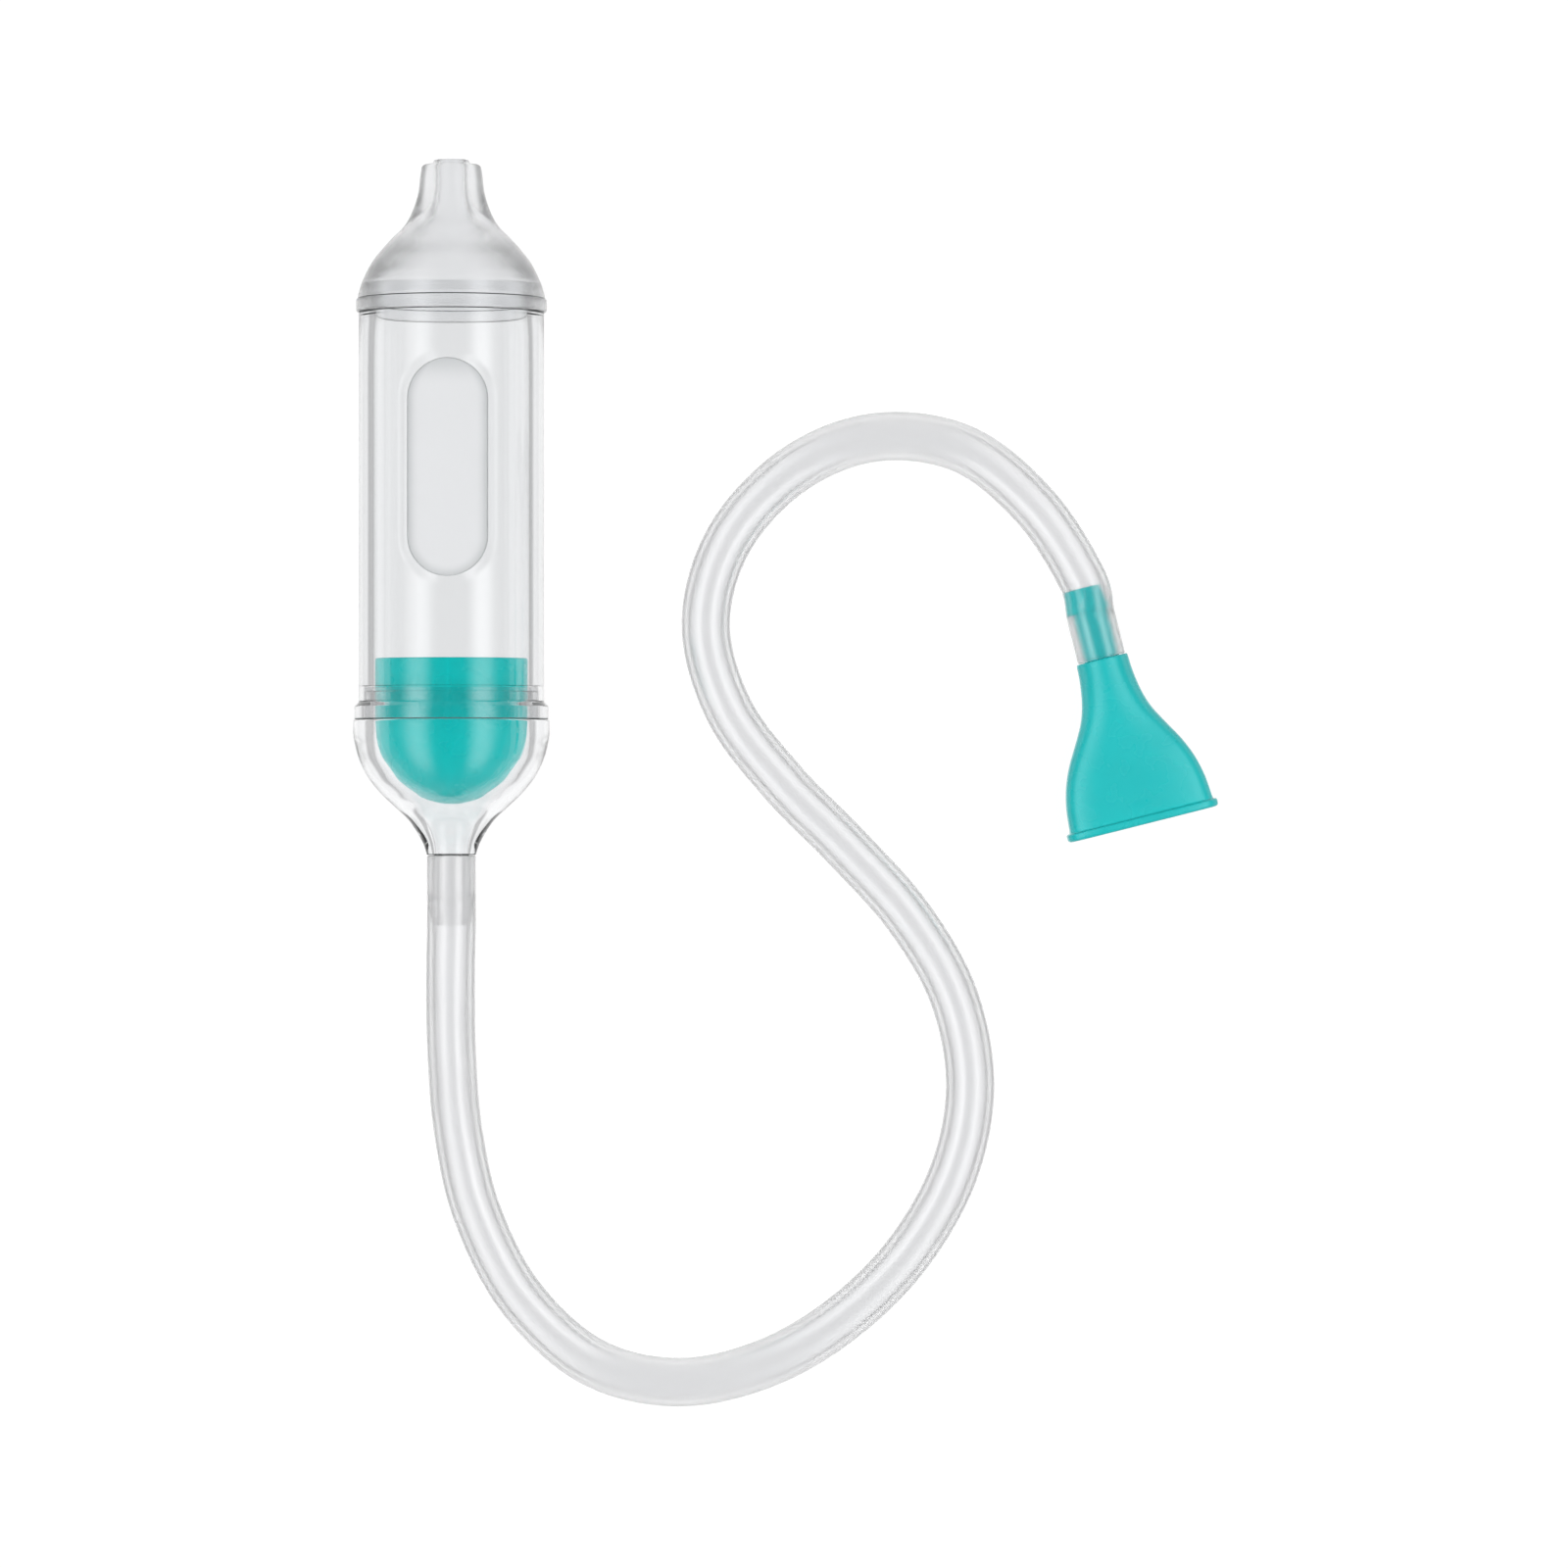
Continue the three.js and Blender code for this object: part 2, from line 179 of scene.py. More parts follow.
def skin(name, rings, loop=True):
    """A mesh object through rings of points in millimetres. A loop's last ring joins its first."""
    rings = np.asarray(rings, float) * MM
    count, sides, _ = rings.shape
    faces, places = [], []
    along = np.concatenate([[0], np.cumsum(np.linalg.norm(np.diff(rings[:, 0], axis=0), axis=1))])
    for i in range(count if loop else count - 1):
        low, high = i * sides, (i + 1) % count * sides
        for j in range(sides):
            k = (j + 1) % sides
            faces.append((low + j, low + k, high + k, high + j))
            left, right = j / sides, (j + 1) / sides
            start, end = along[i], along[(i + 1) % count]
            places += [left, start, right, start, right, end, left, end]
    mesh = bpy.data.meshes.new(name)
    mesh.from_pydata(rings.reshape(-1, 3).tolist(), [], faces)
    mesh.uv_layers.new(name="round_and_along").data.foreach_set("uv", places)
    work = bmesh.new()
    work.from_mesh(mesh)
    bmesh.ops.remove_doubles(work, verts=work.verts, dist=MERGE_DISTANCE)
    bmesh.ops.recalc_face_normals(work, faces=work.faces)
    work.to_mesh(mesh)
    work.free()
    mesh.shade_smooth()
    piece = bpy.data.objects.new(name, mesh)
    scene.collection.objects.link(piece)
    piece.modifiers.new("even_normals", "WEIGHTED_NORMAL")
    return piece


def finished(piece, place, material, body, node):
    """Puts a piece in its place, on its body, in the stead of its CAD node."""
    piece.matrix_world = place
    piece.data.materials.append(material)
    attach(piece, body)
    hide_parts(node)
    return piece


# ---- Materials ----------------------------------------------------------------------------------------


def plain(name, **values):
    """A material whose Principled shader has the given constants, such as Base_Color."""
    material = bpy.data.materials.new(name)
    material.use_nodes = True
    shader = material.node_tree.nodes["Principled BSDF"]
    for socket, value in values.items():
        shader.inputs[socket.replace("_", " ")].default_value = value
    return material


def noise(material, scale, detail=2.0, stretch=(1, 1, 1), coordinates="Object"):
    """A noise texture's factor, with the given number of features in a metre."""
    nodes, links = material.node_tree.nodes, material.node_tree.links
    places = nodes.new("ShaderNodeTexCoord")
    mapping = nodes.new("ShaderNodeMapping")
    mapping.inputs["Scale"].default_value = stretch
    texture = nodes.new("ShaderNodeTexNoise")
    texture.inputs["Scale"].default_value = scale
    texture.inputs["Detail"].default_value = detail
    links.new(places.outputs[coordinates], mapping.inputs["Vector"])
    links.new(mapping.outputs["Vector"], texture.inputs["Vector"])
    return texture.outputs["Fac"]


def vary(material, socket, factor, low, high, start=0.3, end=0.7):
    """The shader's socket goes from low to high as the factor goes from start to end."""
    nodes, links = material.node_tree.nodes, material.node_tree.links
    spread = nodes.new("ShaderNodeMapRange")
    spread.interpolation_type = "SMOOTHSTEP"
    spread.inputs["From Min"].default_value = start
    spread.inputs["From Max"].default_value = end
    links.new(factor, spread.inputs["Value"])
    result = spread.outputs["Result"]
    if isinstance(low, tuple):
        mix = nodes.new("ShaderNodeMix")
        mix.data_type = "RGBA"
        mix.inputs["A"].default_value = low
        mix.inputs["B"].default_value = high
        links.new(result, mix.inputs["Factor"])
        result = mix.outputs["Result"]
    else:
        spread.inputs["To Min"].default_value = low
        spread.inputs["To Max"].default_value = high
    links.new(result, nodes["Principled BSDF"].inputs[socket])


def bump(material, height, depth, strength=1.0):
    """Adds a bump of that depth in millimetres over any bump before it."""
    nodes, links = material.node_tree.nodes, material.node_tree.links
    shader = nodes["Principled BSDF"]
    relief = nodes.new("ShaderNodeBump")
    relief.inputs["Distance"].default_value = depth * MM
    relief.inputs["Strength"].default_value = strength
    links.new(height, relief.inputs["Height"])
    if shader.inputs["Normal"].is_linked:
        links.new(shader.inputs["Normal"].links[0].from_socket, relief.inputs["Normal"])
    links.new(relief.outputs["Normal"], shader.inputs["Normal"])


def absorb(material, colour, density):
    """The solid darkens what is seen through it, by density times one minus the colour in a metre."""
    nodes, links = material.node_tree.nodes, material.node_tree.links
    depth = nodes.new("ShaderNodeVolumeAbsorption")
    depth.inputs["Color"].default_value = colour
    depth.inputs["Density"].default_value = density
    links.new(depth.outputs["Volume"], nodes["Material Output"].inputs["Volume"])


def clear_plastic(name, colour, ior=1.5):
    """Polished and see-through, with the faint waviness of a moulded wall."""
    material = plain(name, Base_Color=colour, IOR=ior, Transmission_Weight=1.0)
    vary(material, "Roughness", noise(material, 120), 0.015, 0.05)
    bump(material, noise(material, 90, stretch=(1, 0.4, 1)), 0.01)
    return material


def hose_silicone():
    """Clear and softly frosted under a glossy skin, with faint lines along it from the die."""
    material = plain("hose_silicone", Base_Color=(0.985, 0.988, 0.995, 1), IOR=1.41,
                     Transmission_Weight=1.0, Coat_Weight=1.0, Coat_IOR=1.65, Coat_Roughness=0.08)
    absorb(material, (0.2, 0.23, 0.26, 1), 5)
    vary(material, "Roughness", noise(material, 150), 0.3, 0.34)
    bump(material, noise(material, 1, stretch=(8, 20, 1), coordinates="UV"), 0.0005)
    return material


def tip_silicone():
    """Milky and satin, clouded a little and with a fine skin."""
    material = plain("tip_silicone", IOR=1.41, Transmission_Weight=0.96)
    absorb(material, (0.2, 0.23, 0.26, 1), 10)
    vary(material, "Base Color", noise(material, 160), (0.95, 0.955, 0.963, 1), (0.96, 0.965, 0.973, 1))
    vary(material, "Roughness", noise(material, 220), 0.22, 0.24)
    bump(material, noise(material, 2600), 0.0005)
    return material


def seal_silicone():
    """Clear, with an IOR below silicone's in place of the close contact with its groove."""
    material = plain("seal_silicone", Base_Color=(1, 1, 1, 1), IOR=1.25, Transmission_Weight=1.0)
    vary(material, "Roughness", noise(material, 300), 0.05, 0.1)
    bump(material, noise(material, 2200), 0.0005)
    return material


def ramp(material, coordinates, start, end):
    """Smoothly 0 to 1 between two places along a coordinate's Y, in metres."""
    nodes, links = material.node_tree.nodes, material.node_tree.links
    places = nodes.new("ShaderNodeTexCoord")
    parts = nodes.new("ShaderNodeSeparateXYZ")
    step = nodes.new("ShaderNodeMapRange")
    step.interpolation_type = "SMOOTHSTEP"
    step.inputs["From Min"].default_value = start
    step.inputs["From Max"].default_value = end
    links.new(places.outputs[coordinates], parts.inputs["Vector"])
    links.new(parts.outputs["Y"], step.inputs["Value"])
    return step.outputs["Result"]


def larger(material, first, second):
    """The larger of two factors."""
    nodes, links = material.node_tree.nodes, material.node_tree.links
    node = nodes.new("ShaderNodeMath")
    node.operation = "MAXIMUM"
    links.new(first, node.inputs[0])
    links.new(second, node.inputs[1])
    return node.outputs["Value"]


def painted_gap_shade():
    """Dark matte plastic, painted as the shade in the gap at a joint."""
    material = plain("painted_gap_shade", IOR=1.5)
    vary(material, "Base Color", noise(material, 900), (0.08, 0.09, 0.09, 1), (0.13, 0.14, 0.14, 1))
    vary(material, "Roughness", noise(material, 600), 0.5, 0.65)
    bump(material, noise(material, 3000), 0.004)
    return material


def refinish(piece, material, chosen):
    """Gives another material to the faces whose centre, in millimetres, is one of the chosen."""
    piece.data.materials.append(material)
    for face in piece.data.polygons:
        if chosen(face.center / MM):
            face.material_index = len(piece.data.materials) - 1


def with_painted_gap_shade(piece, least_radius, shaded_gaps):
    """Paints shade into joints: the faces between each gap's two stations get the dark matte finish, on the
    side that is up.
    """

    def in_a_shaded_gap(centre):
        far_out = math.hypot(centre.x, centre.z) > least_radius
        return far_out and centre.z > 0 and any(low < centre.y < high for low, high in shaded_gaps)

    refinish(piece, GAP_SHADE, in_a_shaded_gap)


def frosted_pad():
    """Blasted matte, with painted shade: greyer towards its rim and its upper end, as if shaded in its
    recess.
    """
    material = plain("frosted_pad", IOR=1.5, Transmission_Weight=0.25)
    pale, painted_shade_grey = (0.86, 0.87, 0.885, 1), (0.62, 0.64, 0.65, 1)
    # Painted shade: the base colour turns grey towards the pad's rim and its upper end, in place of the
    # recess's shadow.
    painted_rim_shade = ramp(material, "UV", 4.2 * MM, 7.6 * MM)
    end = ramp(material, "Object", 52.5 * MM, 60.5 * MM)
    vary(material, "Base Color", larger(material, painted_rim_shade, end), pale, painted_shade_grey, 0, 1)
    vary(material, "Roughness", noise(material, 400), 0.5, 0.62)
    bump(material, noise(material, 3600, 4), 0.02)
    return material


def teal_plastic(name, colour):
    """Satin moulded plastic in one strong colour, a little uneven."""
    material = plain(name, IOR=1.49)
    pale = tuple(min(1, 1.05 * part) for part in colour)
    vary(material, "Base Color", noise(material, 110), colour, pale, 0.2, 0.8)
    vary(material, "Roughness", noise(material, 260), 0.25, 0.29, 0.2, 0.8)
    bump(material, noise(material, 2400), 0.005)
    return material


def open_foam():
    """Off-white foam with cells about half a millimetre wide."""
    material = plain("open_foam", Roughness=0.95, Sheen_Weight=0.2)
    nodes, links = material.node_tree.nodes, material.node_tree.links
    places = nodes.new("ShaderNodeTexCoord")
    cells = nodes.new("ShaderNodeTexVoronoi")
    cells.inputs["Scale"].default_value = 1900
    links.new(places.outputs["Object"], cells.inputs["Vector"])
    vary(material, "Base Color", cells.outputs["Distance"], (0.8, 0.8, 0.78, 1), (0.94, 0.94, 0.92, 1))
    bump(material, cells.outputs["Distance"], 0.35)
    return material


CHAMBER_CLEAR = clear_plastic("clear_plastic", (0.95, 0.955, 0.96, 1))
absorb(CHAMBER_CLEAR, (0.2, 0.23, 0.26, 1), 21)
DOME_CLEAR = clear_plastic("dome_plastic", (0.93, 0.937, 0.945, 1))
# The barb's lower IOR and lack of tint stand in for the close contact with the hose round it.
BARB_CLEAR = clear_plastic("barb_plastic", (1, 1, 1, 1), 1.4)
# Painted shade: dark matte faces that stand for the shadow in the gaps between parts, on their upper side
# only.
GAP_SHADE = painted_gap_shade()
# Painted light: the cup is the mouthpiece's plastic, painted brighter to stand in for light it lacks inside
# the clear shells.
CUP_TEAL_PAINTED_LIGHT = teal_plastic("cup_teal_painted_light", (0.001, 0.55, 0.53, 1))
MOUTH_TEAL = teal_plastic("mouth_teal", (0.014, 0.475, 0.48, 1))

# ---- Barbs that the hose is pushed over ------------------------------------------------------------

BARB_R = 2.85
BARB_RIDGE_R = 3.3
BARB_TIP_R = 2.6
BARB_BORE_R = 2.1
BARB_EDGE = 0.2
RIDGE_START = 3.4                # from the barb's tip
RIDGE_LENGTH = 0.5


def barb(shoulder, length, bore):
    """Corners from the bore's end, round the barb's tip and ridge, up to its shoulder."""
    end = shoulder - length
    return [
        [bore, end, 0.15],
        [BARB_TIP_R, end, BARB_EDGE],
        [BARB_RIDGE_R, end + RIDGE_START, BARB_EDGE],
        [BARB_RIDGE_R, end + RIDGE_START + RIDGE_LENGTH, BARB_EDGE],
        [BARB_R, end + RIDGE_START + 2 * RIDGE_LENGTH, BARB_EDGE],
        [BARB_R, shoulder, 0.15],
    ]


# ---- Hose ------------------------------------------------------------------------------------------

HOSE_R = 4.0
HOSE_BORE_R = 2.5
HOSE_SIDES = 56
HOSE_GAP = 0.03                  # between the hose and a barb inside it
HOSE_EDGE = 0.25
HOSE_STEP = 1.5                  # between rings
HOSE_END = 14                    # how far from each end the rings are closer
HOSE_END_STEP = 0.4
DOME_BARB_LENGTH = 11.4
MOUTH_BARB_LENGTH = 12.1

# The hose's centre line, from the dome's shoulder to the mouthpiece's.
HOSE_ROUTE = [
    (-0.0548, -0.051, 0.016),
    (-0.0548, -0.057, 0.016),
    (-0.0548, -0.063, 0.016),
    (-0.055, -0.0725, 0.0149),
    (-0.05495, -0.084, 0.011),
    (-0.0541, -0.0965, 0.0066),
    (-0.0511, -0.11, 0.0045),
    (-0.044, -0.1238, 0.0042),
    (-0.0323, -0.1344, 0.0042),
    (-0.018, -0.1378, 0.0042),
    (-0.0034, -0.1346, 0.0042),
    (0.0094, -0.127, 0.0042),
    (0.02, -0.1163, 0.0042),
    (0.0274, -0.103, 0.0042),
    (0.03, -0.0886, 0.0042),
    (0.0272, -0.074, 0.0042),
    (0.0197, -0.061, 0.0042),
    (0.0096, -0.0497, 0.0042),
    (-0.0009, -0.039, 0.0042),
    (-0.0098, -0.027, 0.0042),
    (-0.0135, -0.0128, 0.0042),
    (-0.0095, 0.0012, 0.0042),
    (0.001, 0.0124, 0.0042),
    (0.0144, 0.0177, 0.0042),
    (0.0288, 0.0158, 0.0043),
    (0.0404, 0.0066, 0.0047),
    (0.04822, -0.00523, 0.005),
    (0.04993, -0.01201, 0.005),
    (0.051616, -0.018703, 0.005),
]


def evenly(line, at):
    """The points of a line at the given distances along it."""
    along = np.concatenate([[0], np.cumsum(np.linalg.norm(np.diff(line, axis=0), axis=1))])
    return np.stack([np.interp(at, along, line[:, k]) for k in range(3)], axis=1)


def hose_line():
    """The route as a smooth line in millimetres, and its length."""
    line = np.array(through(np.array(HOSE_ROUTE) / MM, 0.25))
    return line, float(np.linalg.norm(np.diff(line, axis=0), axis=1).sum())


def hose_bore(depth, barb_length):
    """The bore's radius at a depth from the hose's end, where it is stretched over a barb."""
    ridge = barb_length - RIDGE_START - RIDGE_LENGTH / 2
    depths = [0, ridge - 2, ridge - 0.3, ridge + 0.3, barb_length, barb_length + 2.5]
    radii = [BARB_R, BARB_R, BARB_RIDGE_R, BARB_RIDGE_R, BARB_TIP_R, HOSE_BORE_R - HOSE_GAP]
    return np.interp(depth, depths, radii) + HOSE_GAP


def hose_rings():
    """Rings along the outside and back through the bore, and the centre line that they follow."""
    line, length = hose_line()
    ends = np.concatenate([[0, 0.06, 0.14, HOSE_EDGE], np.arange(0.8, HOSE_END, HOSE_END_STEP)])
    middle = np.arange(HOSE_END + HOSE_END_STEP, length - HOSE_END, HOSE_STEP)
    at = np.concatenate([ends, middle, length - ends[::-1]])
    centres = evenly(line, at)
    forward = np.gradient(evenly(line, at), axis=0)
    forward /= np.linalg.norm(forward, axis=1)[:, None]
    side = np.cross(forward[0], (0, 0, 1))
    rings_out, rings_in = [], []
    for centre, ahead, s in zip(centres, forward, at):
        side = side - ahead * side.dot(ahead)
        side /= np.linalg.norm(side)
        up = np.cross(side, ahead)
        depth = min(s, length - s)
        edge = HOSE_EDGE - math.sqrt(max(0, HOSE_EDGE ** 2 - max(0, HOSE_EDGE - depth) ** 2))
        bore = max(hose_bore(s, DOME_BARB_LENGTH), hose_bore(length - s, MOUTH_BARB_LENGTH))
        angles = np.arange(HOSE_SIDES) / HOSE_SIDES * 2 * math.pi - math.pi / 2
        circle = np.cos(angles)[:, None] * side + np.sin(angles)[:, None] * up
        rings_out.append(centre + circle * (HOSE_R - edge))
        rings_in.append(centre + circle * (bore + edge / 3))
    return rings_out + rings_in[::-1], centres


def make_hose():
    rings, centres = hose_rings()
    hose = skin("suction_hose", rings)
    finished(hose, Matrix(), hose_silicone(), "outlet", "hose")
    hose.visible_shadow = False      # as with the clear shells, or no lamp would light what is inside


make_hose()

# ---- Outlet dome and its seal ----------------------------------------------------------------------

NECK_END = -22.0
DOME_BORE_R = 1.8


def make_dome():
    outside = through([(4, NECK_END), (4.6, -20.2), (5.7, -18.2), (7.1, -16.2), (9.1, -14.3), (11.5, -12),
                       (13.7, -9.2), (15.2, -6), (15.95, -2.8), (16, -1.2)])
    inside = through([(12.75, -1), (12.8, -3), (12.3, -6), (10.7, -9), (8.4, -11.6), (6.3, -13.5),
                      (4.8, -15.2), (3.7, -17), (3, -19), (2.7, -20.9)])
    outline = rounded([
        *barb(NECK_END, DOME_BARB_LENGTH, DOME_BORE_R),
        [*outside[0], 0.25],
        *outside[1:],
        [16, 0, 0.3],
        [14.1, 0, 0.05],
        [14.1, 3.1, 0.05],
        [13.2, 3.1, 0.05],
        [13.2, 4.6, 0.05],
        [14.1, 4.6, 0.05],
        [14.1, 5.2, 0.05],
        [12.75, 5.2, 0.05],
        *inside,
        [2.6, NECK_END + 0.4, 0.1],
        [DOME_BORE_R, NECK_END, 0.2],
    ])
    dome = skin("dome_shell", turned_rings(outline))
    finished(dome, BODY, DOME_CLEAR, "outlet", "outlet_dome")
    dome.visible_shadow = False
    refinish(dome, BARB_CLEAR, lambda centre: centre.y < NECK_END - 0.02)
    # Painted shade where the hose's end meets the dome's shoulder.
    with_painted_gap_shade(dome, 2.9, [(NECK_END - 0.02, NECK_END + 0.2)])


def make_seal():
    outline = rounded([[13.25, 3.15, 0.05], [14.2, 3.15, 0.1], [14.2, 4.55, 0.1], [13.25, 4.55, 0.05]])
    seal = skin("dome_seal", turned_rings(outline))
    finished(seal, BODY, seal_silicone(), "outlet", "seal_ring")
    seal.visible_shadow = False


make_dome()
make_seal()

# ---- Chamber and its thumb pad ----------------------------------------------------------------------

CHAMBER_R = 15.1
PAD_CENTRE = 40.6
PAD_HALF_WIDTH = 6.5
PAD_REACH = 11.1                 # from the pad's middle to the centres of its round ends
RECESS_HALF_WIDTH = 8.1
PAD_STEP = 0.25
PAD_FLOOR_R = 14.3
PAD_TOP_R = 14.8
PAD_DISH = 0.15                  # how much lower its middle is than its rim

# The recess gets deeper in steps: from and to how far inside its edge, and how much deeper.
RECESS_STEPS = ((0, 1.6, 0.4), (1.65, 1.95, 0.5))


def recess_depth(x, station):
    """How far the chamber's wall is sunk under the thumb pad."""
    past_straight = max(0, abs(station - PAD_CENTRE) - PAD_REACH)
    inside = RECESS_HALF_WIDTH - math.hypot(x, past_straight)
    depth = 0
    for start, end, deeper in RECESS_STEPS:
        t = min(1, max(0, (inside - start) / (end - start)))
        depth += deeper * t * t * (3 - 2 * t)
    return depth


def make_chamber():
    outline = rounded([
        [14.3, 0.1, 0.05],
        [15.8, 0.1, 0.2],
        [15.8, 2.2, 0.3],
        [CHAMBER_R, 2.9, 0.5],
        [CHAMBER_R, 66.3, 0.15],
        [13.05, 66.3, 0.05],
        [13.05, 68.4, 0.3],
        [13.2, 69.1, 0.3],
        [13.05, 69.8, 0.3],
        [13.05, 70.7, 0.3],
        [12, 70.7, 0.3],
        [12.45, 66.3],
        [12.65, 62],
        [12.7, 57],
        [12.7, 5.5, 0.05],
        [14.3, 5.5, 0.05],
    ])
    wall = [i for i, (r, s) in enumerate(outline) if abs(r - CHAMBER_R) < 1e-3 and s < 10][-1]
    steps = math.ceil((PAD_REACH + RECESS_HALF_WIDTH + PAD_STEP) / PAD_STEP)
    outline[wall + 1:wall + 1] = [(CHAMBER_R, PAD_CENTRE + k * PAD_STEP) for k in range(-steps, steps + 1)]
    half = math.asin((RECESS_HALF_WIDTH + PAD_STEP) / CHAMBER_R)
    fine = np.linspace(-half, half, 57) + math.pi / 2
    coarse = np.linspace(math.pi / 2 + half, 2.5 * math.pi - half, 96)[1:-1]
    rings = turned_rings(outline, np.concatenate([fine, coarse]))
    for ring, (r, s) in zip(rings, outline):
        if r < CHAMBER_R - 1e-3 or not 10 < s < 65:
            continue
        for point in ring:
            if point[2] > 0:
                sunk = recess_depth(point[0], s) / CHAMBER_R
                point[0] *= 1 - sunk
                point[2] *= 1 - sunk
    chamber = skin("chamber_shell", rings)
    finished(chamber, BODY, CHAMBER_CLEAR, "chamber", "chamber")
    chamber.visible_shadow = False
    # Painted shade in the joints with the dome and under the nose tip.
    with_painted_gap_shade(chamber, 14.2, [(0.05, 0.27), (66.15, 66.35)])


def pill(half_width):
    """Points round a pill about the pad's middle. Its two sides have the same stations."""
    turn = np.linspace(0, math.pi, 33)
    side = np.linspace(PAD_REACH, -PAD_REACH, 45)[1:-1]
    top = [(half_width * math.cos(a), PAD_CENTRE + PAD_REACH + half_width * math.sin(a)) for a in turn]
    left = [(-half_width, PAD_CENTRE + s) for s in side]
    bottom = [(-half_width * math.cos(a), PAD_CENTRE - PAD_REACH - half_width * math.sin(a)) for a in turn]
    right = [(half_width, PAD_CENTRE - s) for s in side]
    return top + left + bottom + right


def make_thumb_pad():
    edge = rounded([
        [0, PAD_FLOOR_R],
        [PAD_HALF_WIDTH, PAD_FLOOR_R, 0.1],
        [PAD_HALF_WIDTH, PAD_TOP_R, 0.3],
        [0, PAD_TOP_R],
    ], loop=False)
    inner = edge[-2][0]
    crown = [(inner * k, PAD_TOP_R - PAD_DISH * (1 - k * k)) for k in np.linspace(0, 1, 14)[:-1]]
    base = [(PAD_HALF_WIDTH * k, PAD_FLOOR_R) for k in np.linspace(0.95, 0, 8)]
    profile = [*crown, *edge[-2:0:-1], *base]
    rings = [[(x, s, math.sqrt(r * r - x * x)) for x, s in pill(w)] for w, r in profile]
    pad = skin("chamber_thumb_pad", rings, loop=False)
    finished(pad, BODY, frosted_pad(), "chamber", "thumb_pad")


make_chamber()
make_thumb_pad()

# ---- Filter cup and its foam ---------------------------------------------------------------------------

FOAM_R = 10.9
FOAM_LOW = 1.1
FOAM_HIGH = 6.1
FOAM_RINGS = 9


def make_cup():
    outside = through([(1.5, -13), (3.8, -12.4), (6.6, -11.05), (9.1, -8.9), (11, -6.05), (12.1, -3),
                       (12.4, 0)])
    inside = through([(10, 1), (9.9, -2.4), (8.8, -5.5), (6.8, -8.2), (4, -10.5), (1.5, -11.6)])
    outline = rounded([
        [*outside[0], 0.2],
        *outside[1:],
        [12.4, 10, 0.35],
        [11.2, 10, 0.35],
        [11.2, 1, 0.2],
        [*inside[0], 0.2],
        *inside[1:-1],
        [*inside[-1], 0.2],
    ])
    cup = skin("cup_shell", turned_rings(outline))
    finished(cup, BODY, CUP_TEAL_PAINTED_LIGHT, "filter_cup", "filter_cup")


def make_foam():
    edge = rounded([
        [0, FOAM_LOW],
        [FOAM_R, FOAM_LOW, 0.5],
        [FOAM_R, FOAM_HIGH, 0.8],
        [0, FOAM_HIGH],
    ], loop=False)
    base = [(FOAM_R * k / FOAM_RINGS, FOAM_LOW) for k in range(1, FOAM_RINGS)]
    crown = [(r, FOAM_HIGH) for r, _ in base[::-1]]
    foam = skin("foam_disc", turned_rings([edge[0], *base, *edge[1:-1], *crown, edge[-1]]), loop=False)
    finished(foam, BODY, open_foam(), "filter", "filter_foam")


make_cup()
make_foam()

# ---- Nose tip ----------------------------------------------------------------------------------------


def make_nose_tip():
    outside = through([(15.2, 69.1), (14.4, 71.6), (12.7, 74.8), (10.2, 77.8), (7.6, 80.5), (6.2, 83.2),
                       (5.4, 85.8), (5.1, 88.3)])
    inside = through([(2, 86.5), (2.3, 84), (3.1, 82), (5, 79.6), (7.7, 77), (10.3, 74.8), (12.3, 72.6),
                      (13.4, 71)])
    outline = rounded([
        [13.5, 66.4, 0.1],
        [15.5, 66.4, 0.3],
        [15.5, 68.4, 0.1],
        [15.2, 68.6, 0.05],
        *outside,
        [4.8, 90.35, 0.7],
        [3.1, 90.55, 0.3],
        [2.8, 91.2, 0.3],
        [2, 91.2, 0.3],
        *inside,
        [13.5, 70.7, 0.5],
    ])
    tip = skin("soft_nose_tip", turned_rings(outline))
    finished(tip, BODY, tip_silicone(), "nose_tip", "nose_tip")
    # Painted shade in the groove round the tip's rim.
    with_painted_gap_shade(tip, 15, [(68.42, 68.62)])


make_nose_tip()

# ---- Mouthpiece ------------------------------------------------------------------------------------

MOUTH_WALL = 1.3
MOUTH_SIDES = 96
MOUTH_STEP = 0.6                 # between rings
LIP_START = 26.7
LIP_RISE = 0.6

# The fan's [station, half width, half thickness, squareness]. Squareness 2 is an ellipse, and more
# brings the section towards a rectangle with round corners.
FAN = [
    (0, 4.3, 4.3, 2),
    (2.8, 4.45, 4.3, 2),
    (5.6, 4.85, 4.25, 2.1),
    (7.7, 5.35, 4.2, 2.2),
    (9.6, 6.05, 4.2, 2.4),
    (11.5, 7.05, 4.2, 2.6),
    (13.5, 8.2, 4.2, 2.9),
    (15.4, 9.3, 4.25, 3.2),
    (17.3, 10.2, 4.3, 3.5),
    (19.3, 10.95, 4.3, 3.7),
    (21.2, 11.45, 4.35, 3.8),
    (23.2, 11.8, 4.4, 3.9),
    (LIP_START, 12.1, 4.4, 4),
]


def section(station, half_width, half_thickness, squareness):
    """A ring with its points evenly spaced round it."""
    angles = np.linspace(0, 2 * math.pi, 1441)
    wide, thick = np.cos(angles), np.sin(angles)
    x = half_width * np.sign(wide) * np.abs(wide) ** (2 / squareness)
    z = half_thickness * np.sign(thick) * np.abs(thick) ** (2 / squareness)
    along = np.concatenate([[0], np.cumsum(np.hypot(np.diff(x), np.diff(z)))])
    at = np.arange(MOUTH_SIDES) / MOUTH_SIDES * along[-1]
    return [(px, station, pz) for px, pz in zip(np.interp(at, along, x), np.interp(at, along, z))]


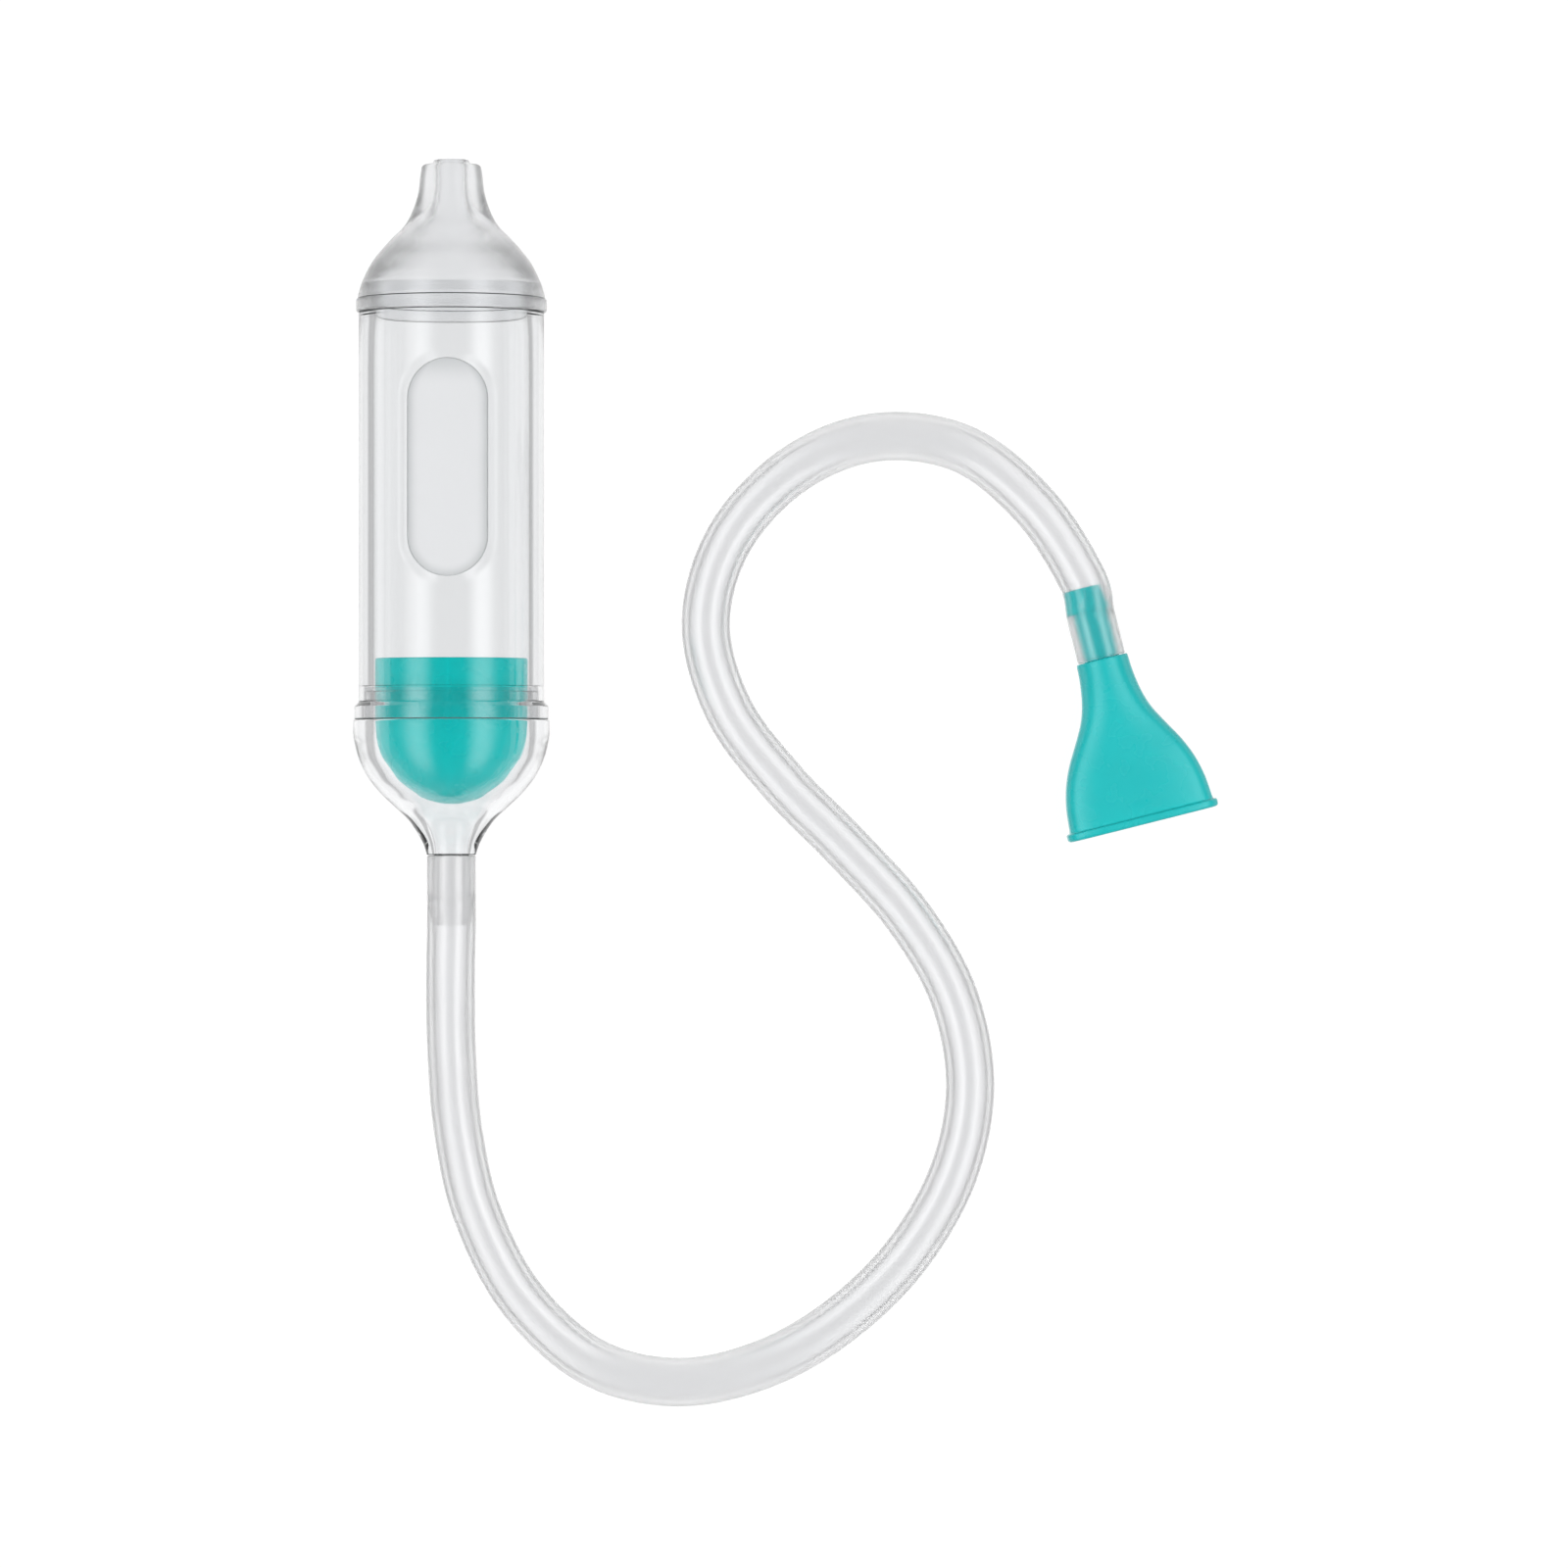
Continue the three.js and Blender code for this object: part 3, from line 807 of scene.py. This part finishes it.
def make_mouthpiece():
    _, end_width, end_thickness, end_square = FAN[-1]
    spigot = rounded([*barb(0, MOUTH_BARB_LENGTH, BARB_BORE_R), [4.3, 0, 0.3], [4.4, 2.5]], loop=False)[:-1]
    fan = [ring for ring in through(FAN, MOUTH_STEP) if ring[0] > 0.4]
    lip = rounded([
        [0, 20],
        [0, LIP_START, 0.35],
        [LIP_RISE, LIP_START, 0.3],
        [LIP_RISE, MOUTH_LENGTH, 0.5],
        [-MOUTH_WALL, MOUTH_LENGTH, 0.5],
        [-MOUTH_WALL, 20],
    ], loop=False)[1:-1]
    hollow = [(s, a - MOUTH_WALL, b - MOUTH_WALL, n) for s, a, b, n in fan if 5.5 < s < LIP_START - 0.5]
    funnel = through([hollow[0], (2.8, 2.7, 2.6, 2), (0.8, BARB_BORE_R, BARB_BORE_R, 2)], MOUTH_STEP)
    rings = [section(s, r, r, 2) for r, s in spigot]
    rings += [section(*ring) for ring in fan if ring[0] < LIP_START - 0.4]
    rings += [section(s, end_width + rise, end_thickness + rise, end_square) for rise, s in lip]
    rings += [section(*ring) for ring in hollow[::-1]]
    rings += [section(*ring) for ring in funnel[1:]]
    mouthpiece = skin("mouthpiece_shell", rings)
    finished(mouthpiece, MOUTH, MOUTH_TEAL, "mouthpiece", "mouthpiece")


make_mouthpiece()

# ---- Floor, light and finish --------------------------------------------------------------------------

FLOOR_HALF = 4.0
FLOOR_GLOW = 0.93                # the surface is lit from below, like a light table
FLOOR_GREY = 0.12
BELOW_BRIGHT = 1.04              # what clear pieces show of the surface under them
CARD_DARKNESS = 0.5              # of the dark card low on each side, which gives them their outlines
CARD_ANGLE = math.radians(50)    # from straight down
CARD_CORE = math.radians(7)
CARD_EDGE = math.radians(17)
SKY_LOW = 0.2
SKY_HIGH = 0.05
STRIP_STRENGTH = 1.45
STRIP_ANGLE = math.radians(44)   # from straight up, to the left and the right
STRIP_CORE = math.radians(3)
STRIP_EDGE = math.radians(25)
STRIP_FADE = 0.6                 # how far ahead and behind the strips fade, as a direction's Y
STRIP_END = 0.97
FILL_POWER = 12.0                # watts from each square metre
FILL_DISTANCE = 1.2
FILL_SIZE = 1.0
FILL_ANGLE = math.radians(35)


def make_floor():
    """A pale surface that glows. Clear and glossy pieces show the room's lower half in its place."""
    work = bmesh.new()
    bmesh.ops.create_grid(work, x_segments=1, y_segments=1, size=FLOOR_HALF)
    mesh = bpy.data.meshes.new("floor")
    work.to_mesh(mesh)
    work.free()
    floor = bpy.data.objects.new("floor", mesh)
    scene.collection.objects.link(floor)
    floor.data.materials.append(plain("floor", Base_Color=(FLOOR_GREY,) * 3 + (1,), Roughness=1.0,
                                      Specular_IOR_Level=0.0, Emission_Color=(1, 1, 1, 1),
                                      Emission_Strength=FLOOR_GLOW))
    floor.visible_transmission = False
    floor.visible_glossy = False


def sky_node(nodes, links, kind, operation, *sources):
    """A Math or Map Range node of the sky's shader, fed by sockets or numbers."""
    node = nodes.new(kind)
    if operation:
        node.operation = operation
    for slot, source in zip(node.inputs, sources):
        if isinstance(source, (int, float)):
            slot.default_value = source
        else:
            links.new(source, slot)
    return node


def make_sky():
    """What clear and glossy pieces show of the room round them.

    Above is a dark room with a long soft strip light on each side. Below is the bright surface that
    they lie on, with a soft dark card low on each side.
    """
    world = bpy.data.worlds.new("room")
    scene.world = world
    world.use_nodes = True
    nodes, links = world.node_tree.nodes, world.node_tree.links

    def math_node(operation, *sources):
        return sky_node(nodes, links, "ShaderNodeMath", operation, *sources).outputs["Value"]

    def smooth_range(*sources):
        node = sky_node(nodes, links, "ShaderNodeMapRange", None, *sources)
        node.interpolation_type = "SMOOTHSTEP"
        return node.outputs["Result"]

    places = nodes.new("ShaderNodeTexCoord")
    parts = nodes.new("ShaderNodeSeparateXYZ")
    links.new(places.outputs["Generated"], parts.inputs["Vector"])
    x, y, z = parts.outputs
    above = smooth_range(z, 0.0, 1.0, SKY_LOW, SKY_HIGH)
    down_angle = math_node("ARCTAN2", math_node("ABSOLUTE", x), math_node("MULTIPLY", z, -1.0))
    off_card = math_node("ABSOLUTE", math_node("SUBTRACT", down_angle, CARD_ANGLE))
    below = smooth_range(off_card, CARD_EDGE, CARD_CORE, BELOW_BRIGHT, BELOW_BRIGHT - CARD_DARKNESS)
    is_below = math_node("LESS_THAN", z, 0.0)
    brighter = math_node("MULTIPLY", is_below, math_node("SUBTRACT", below, above))
    room = math_node("ADD", above, brighter)
    angle = math_node("ARCTAN2", math_node("ABSOLUTE", x), z)
    off_strip = math_node("ABSOLUTE", math_node("SUBTRACT", angle, STRIP_ANGLE))
    strips = smooth_range(off_strip, STRIP_EDGE, STRIP_CORE, 0.0, STRIP_STRENGTH)
    ends = smooth_range(math_node("ABSOLUTE", y), STRIP_END, STRIP_FADE, 0.0, 1.0)
    total = math_node("ADD", room, math_node("MULTIPLY", strips, ends))
    links.new(total, nodes["Background"].inputs["Strength"])
    world.cycles_visibility.diffuse = False      # the floor and the lamps light the matte surfaces
    nodes["Background"].inputs["Color"].default_value = (1, 1, 1, 1)


def make_fill(name, side):
    """A soft lamp that shows in no reflection."""
    lamp = bpy.data.lights.new(name, "AREA")
    lamp.shape = "SQUARE"
    lamp.size = FILL_SIZE
    lamp.energy = FILL_POWER * FILL_SIZE ** 2
    fill = bpy.data.objects.new(name, lamp)
    towards = Vector((side * math.sin(FILL_ANGLE), 0, math.cos(FILL_ANGLE)))
    fill.location = middle_of_all + towards * FILL_DISTANCE
    fill.rotation_euler = (0, side * FILL_ANGLE, 0)
    fill.visible_glossy = False
    fill.visible_transmission = False
    scene.collection.objects.link(fill)


make_floor()
make_sky()
make_fill("fill_left", -1)
make_fill("fill_right", 1)
scene.view_settings.view_transform = "Standard"
